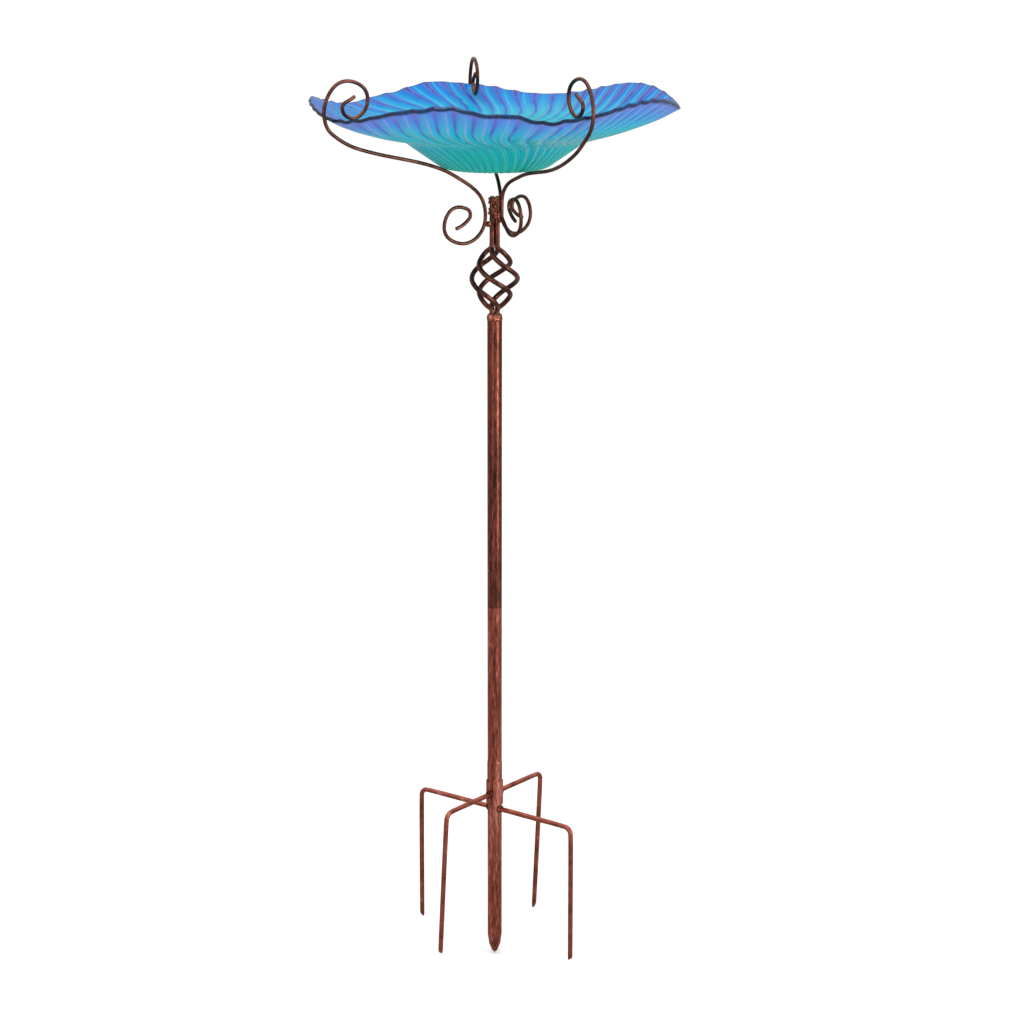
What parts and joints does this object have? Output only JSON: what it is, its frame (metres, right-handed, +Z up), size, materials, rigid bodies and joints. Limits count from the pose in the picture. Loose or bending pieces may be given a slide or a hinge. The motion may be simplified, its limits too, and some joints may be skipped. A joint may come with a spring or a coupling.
{
  "type": "bird bath",
  "caption": "Garden bird bath: ruffled glass bowl held by three scrolled wire arms on a stem with a twisted basket, over a take-apart pole with a pronged ground spike",
  "frame": {"origin": "on the pole's axis at the soil line, which is the upper end of the ground spike's full-width wall", "axes": "+Z up along the pole, -Z down the ground spike, front of the bath towards -Y"},
  "size_m": [0.3928, 0.3971, 0.9909],
  "materials": {
    "bowl_glass": "fluted coloured art glass, cobalt at the rim, turquoise inside and green in the well",
    "arm_wire": "dark antique copper finish on spring wire",
    "stem_rod": "dark antique copper finish on steel rod",
    "weld_metal": "lumpy weld under the same antique copper finish",
    "pole_tube": "antique copper finish with dark vertical streaks",
    "prong_rod": "antique copper finish on steel rod",
    "bare_steel": "plain turned steel, hidden inside the pole"
  },
  "bodies": {
    "stake": {"ground_spike": "pole_tube", "base_spigot": "bare_steel", "prong_collar": "pole_tube", "front_left_prong": "prong_rod", "front_right_prong": "prong_rod", "rear_left_prong": "prong_rod", "rear_right_prong": "prong_rod", "collar_welds": "weld_metal", "spike_welds": "weld_metal"},
    "lower_section": {"lower_pole": "pole_tube"},
    "pole_connector": {"connector_pin": "bare_steel"},
    "upper_section": {"upper_pole": "pole_tube", "pole_top_weld": "weld_metal", "basket_rod_1": "stem_rod", "basket_rod_2": "stem_rod", "basket_rod_3": "stem_rod", "basket_rod_4": "stem_rod", "arm_welds": "weld_metal", "left_scroll_arm": "arm_wire", "right_scroll_arm": "arm_wire", "rear_scroll_arm": "arm_wire", "glass_bowl": "bowl_glass"}
  },
  "joints": [
    {"name": "lower_pole_lift", "type": "slide", "parent": "stake", "child": "lower_section", "axis": [0, 0, 1], "range_m": [0, 0.032]},
    {"name": "connector_lift", "type": "slide", "parent": "lower_section", "child": "pole_connector", "axis": [0, 0, 1], "range_m": [0, 0.034]},
    {"name": "upper_section_turn", "type": "hinge", "parent": "pole_connector", "child": "upper_section", "pos_m": [0, 0, 0.236], "axis": [0, 0, 1], "continuous": true}
  ]
}
